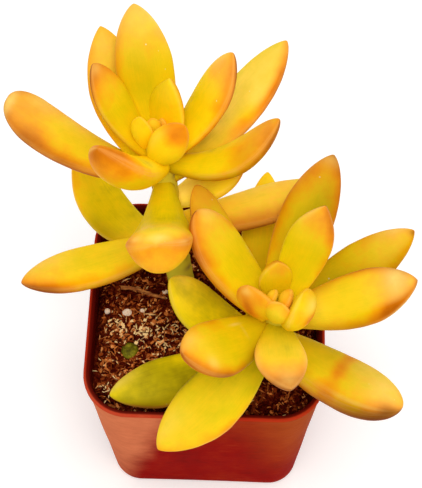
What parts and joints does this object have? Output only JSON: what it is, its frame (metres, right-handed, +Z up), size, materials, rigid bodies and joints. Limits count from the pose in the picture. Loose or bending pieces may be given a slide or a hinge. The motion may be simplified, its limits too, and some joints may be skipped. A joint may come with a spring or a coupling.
{
  "type": "potted coppertone sedum",
  "caption": "Succulent with thick pointed golden leaves edged in copper, rooted cuttings in a small square tapered plastic nursery pot filled with dark fibrous soil.",
  "frame": {"origin": "middle of the flat underside of the pot", "axes": "+Z up, -Y towards the front of the pot (the side the camera sees), +X to its right"},
  "size_m": [0.0881, 0.0816, 0.1121],
  "materials": {
    "plastic": "thin red-brown nursery pot plastic, lightly scuffed, paler on the lip",
    "soil": "dark fibrous potting mix with tan fibres and bark chips",
    "perlite": "pale porous perlite",
    "bark": "dry brown twig",
    "stem": "smooth fleshy green-gold stem",
    "leaf_gold": "waxy golden leaf with copper margins and tip",
    "leaf_copper": "waxy young leaf flushed with copper",
    "leaf_green": "waxy olive-green older leaf with gold and copper ends"
  },
  "bodies": {
    "root": {"pot": "plastic", "stem_left": "stem", "stem_right": "stem", "perlite_grain_1": "perlite", "perlite_grain_2": "perlite", "perlite_grain_3": "perlite", "perlite_grain_4": "perlite", "twig": "bark", "fallen_leaf": "leaf_green", "left_leaf_under_back": "leaf_green", "left_leaf_under_side": "leaf_green", "left_leaf_reaching": "leaf_green", "left_leaf_under_right": "leaf_green", "left_leaf_hanging": "leaf_gold", "left_leaf_right_long": "leaf_gold", "left_leaf_back_low": "leaf_gold", "left_leaf_side_long": "leaf_gold", "left_leaf_right_low": "leaf_gold", "left_leaf_back_tall": "leaf_gold", "left_leaf_front_steep": "leaf_gold", "left_leaf_side_inner": "leaf_gold", "left_leaf_right_inner": "leaf_gold", "left_leaf_heart_front": "leaf_copper", "left_leaf_heart_back": "leaf_copper", "left_leaf_heart_side": "leaf_copper", "left_heart": "leaf_copper", "right_leaf_on_soil": "leaf_green", "right_leaf_under_back": "leaf_green", "right_leaf_under_left": "leaf_green", "right_leaf_front_long": "leaf_green", "right_leaf_side_low": "leaf_green", "right_leaf_left_behind": "leaf_gold", "right_leaf_side_back": "leaf_gold", "right_leaf_back_tall": "leaf_gold", "right_leaf_front_left": "leaf_gold", "right_leaf_side_high": "leaf_gold", "right_leaf_left_high": "leaf_gold", "right_leaf_front": "leaf_gold", "right_leaf_back_inner": "leaf_gold", "right_leaf_heart_left": "leaf_copper", "right_leaf_heart_right": "leaf_copper", "right_leaf_heart_back": "leaf_copper", "right_heart": "leaf_copper", "soil": "soil"}
  },
  "joints": []
}
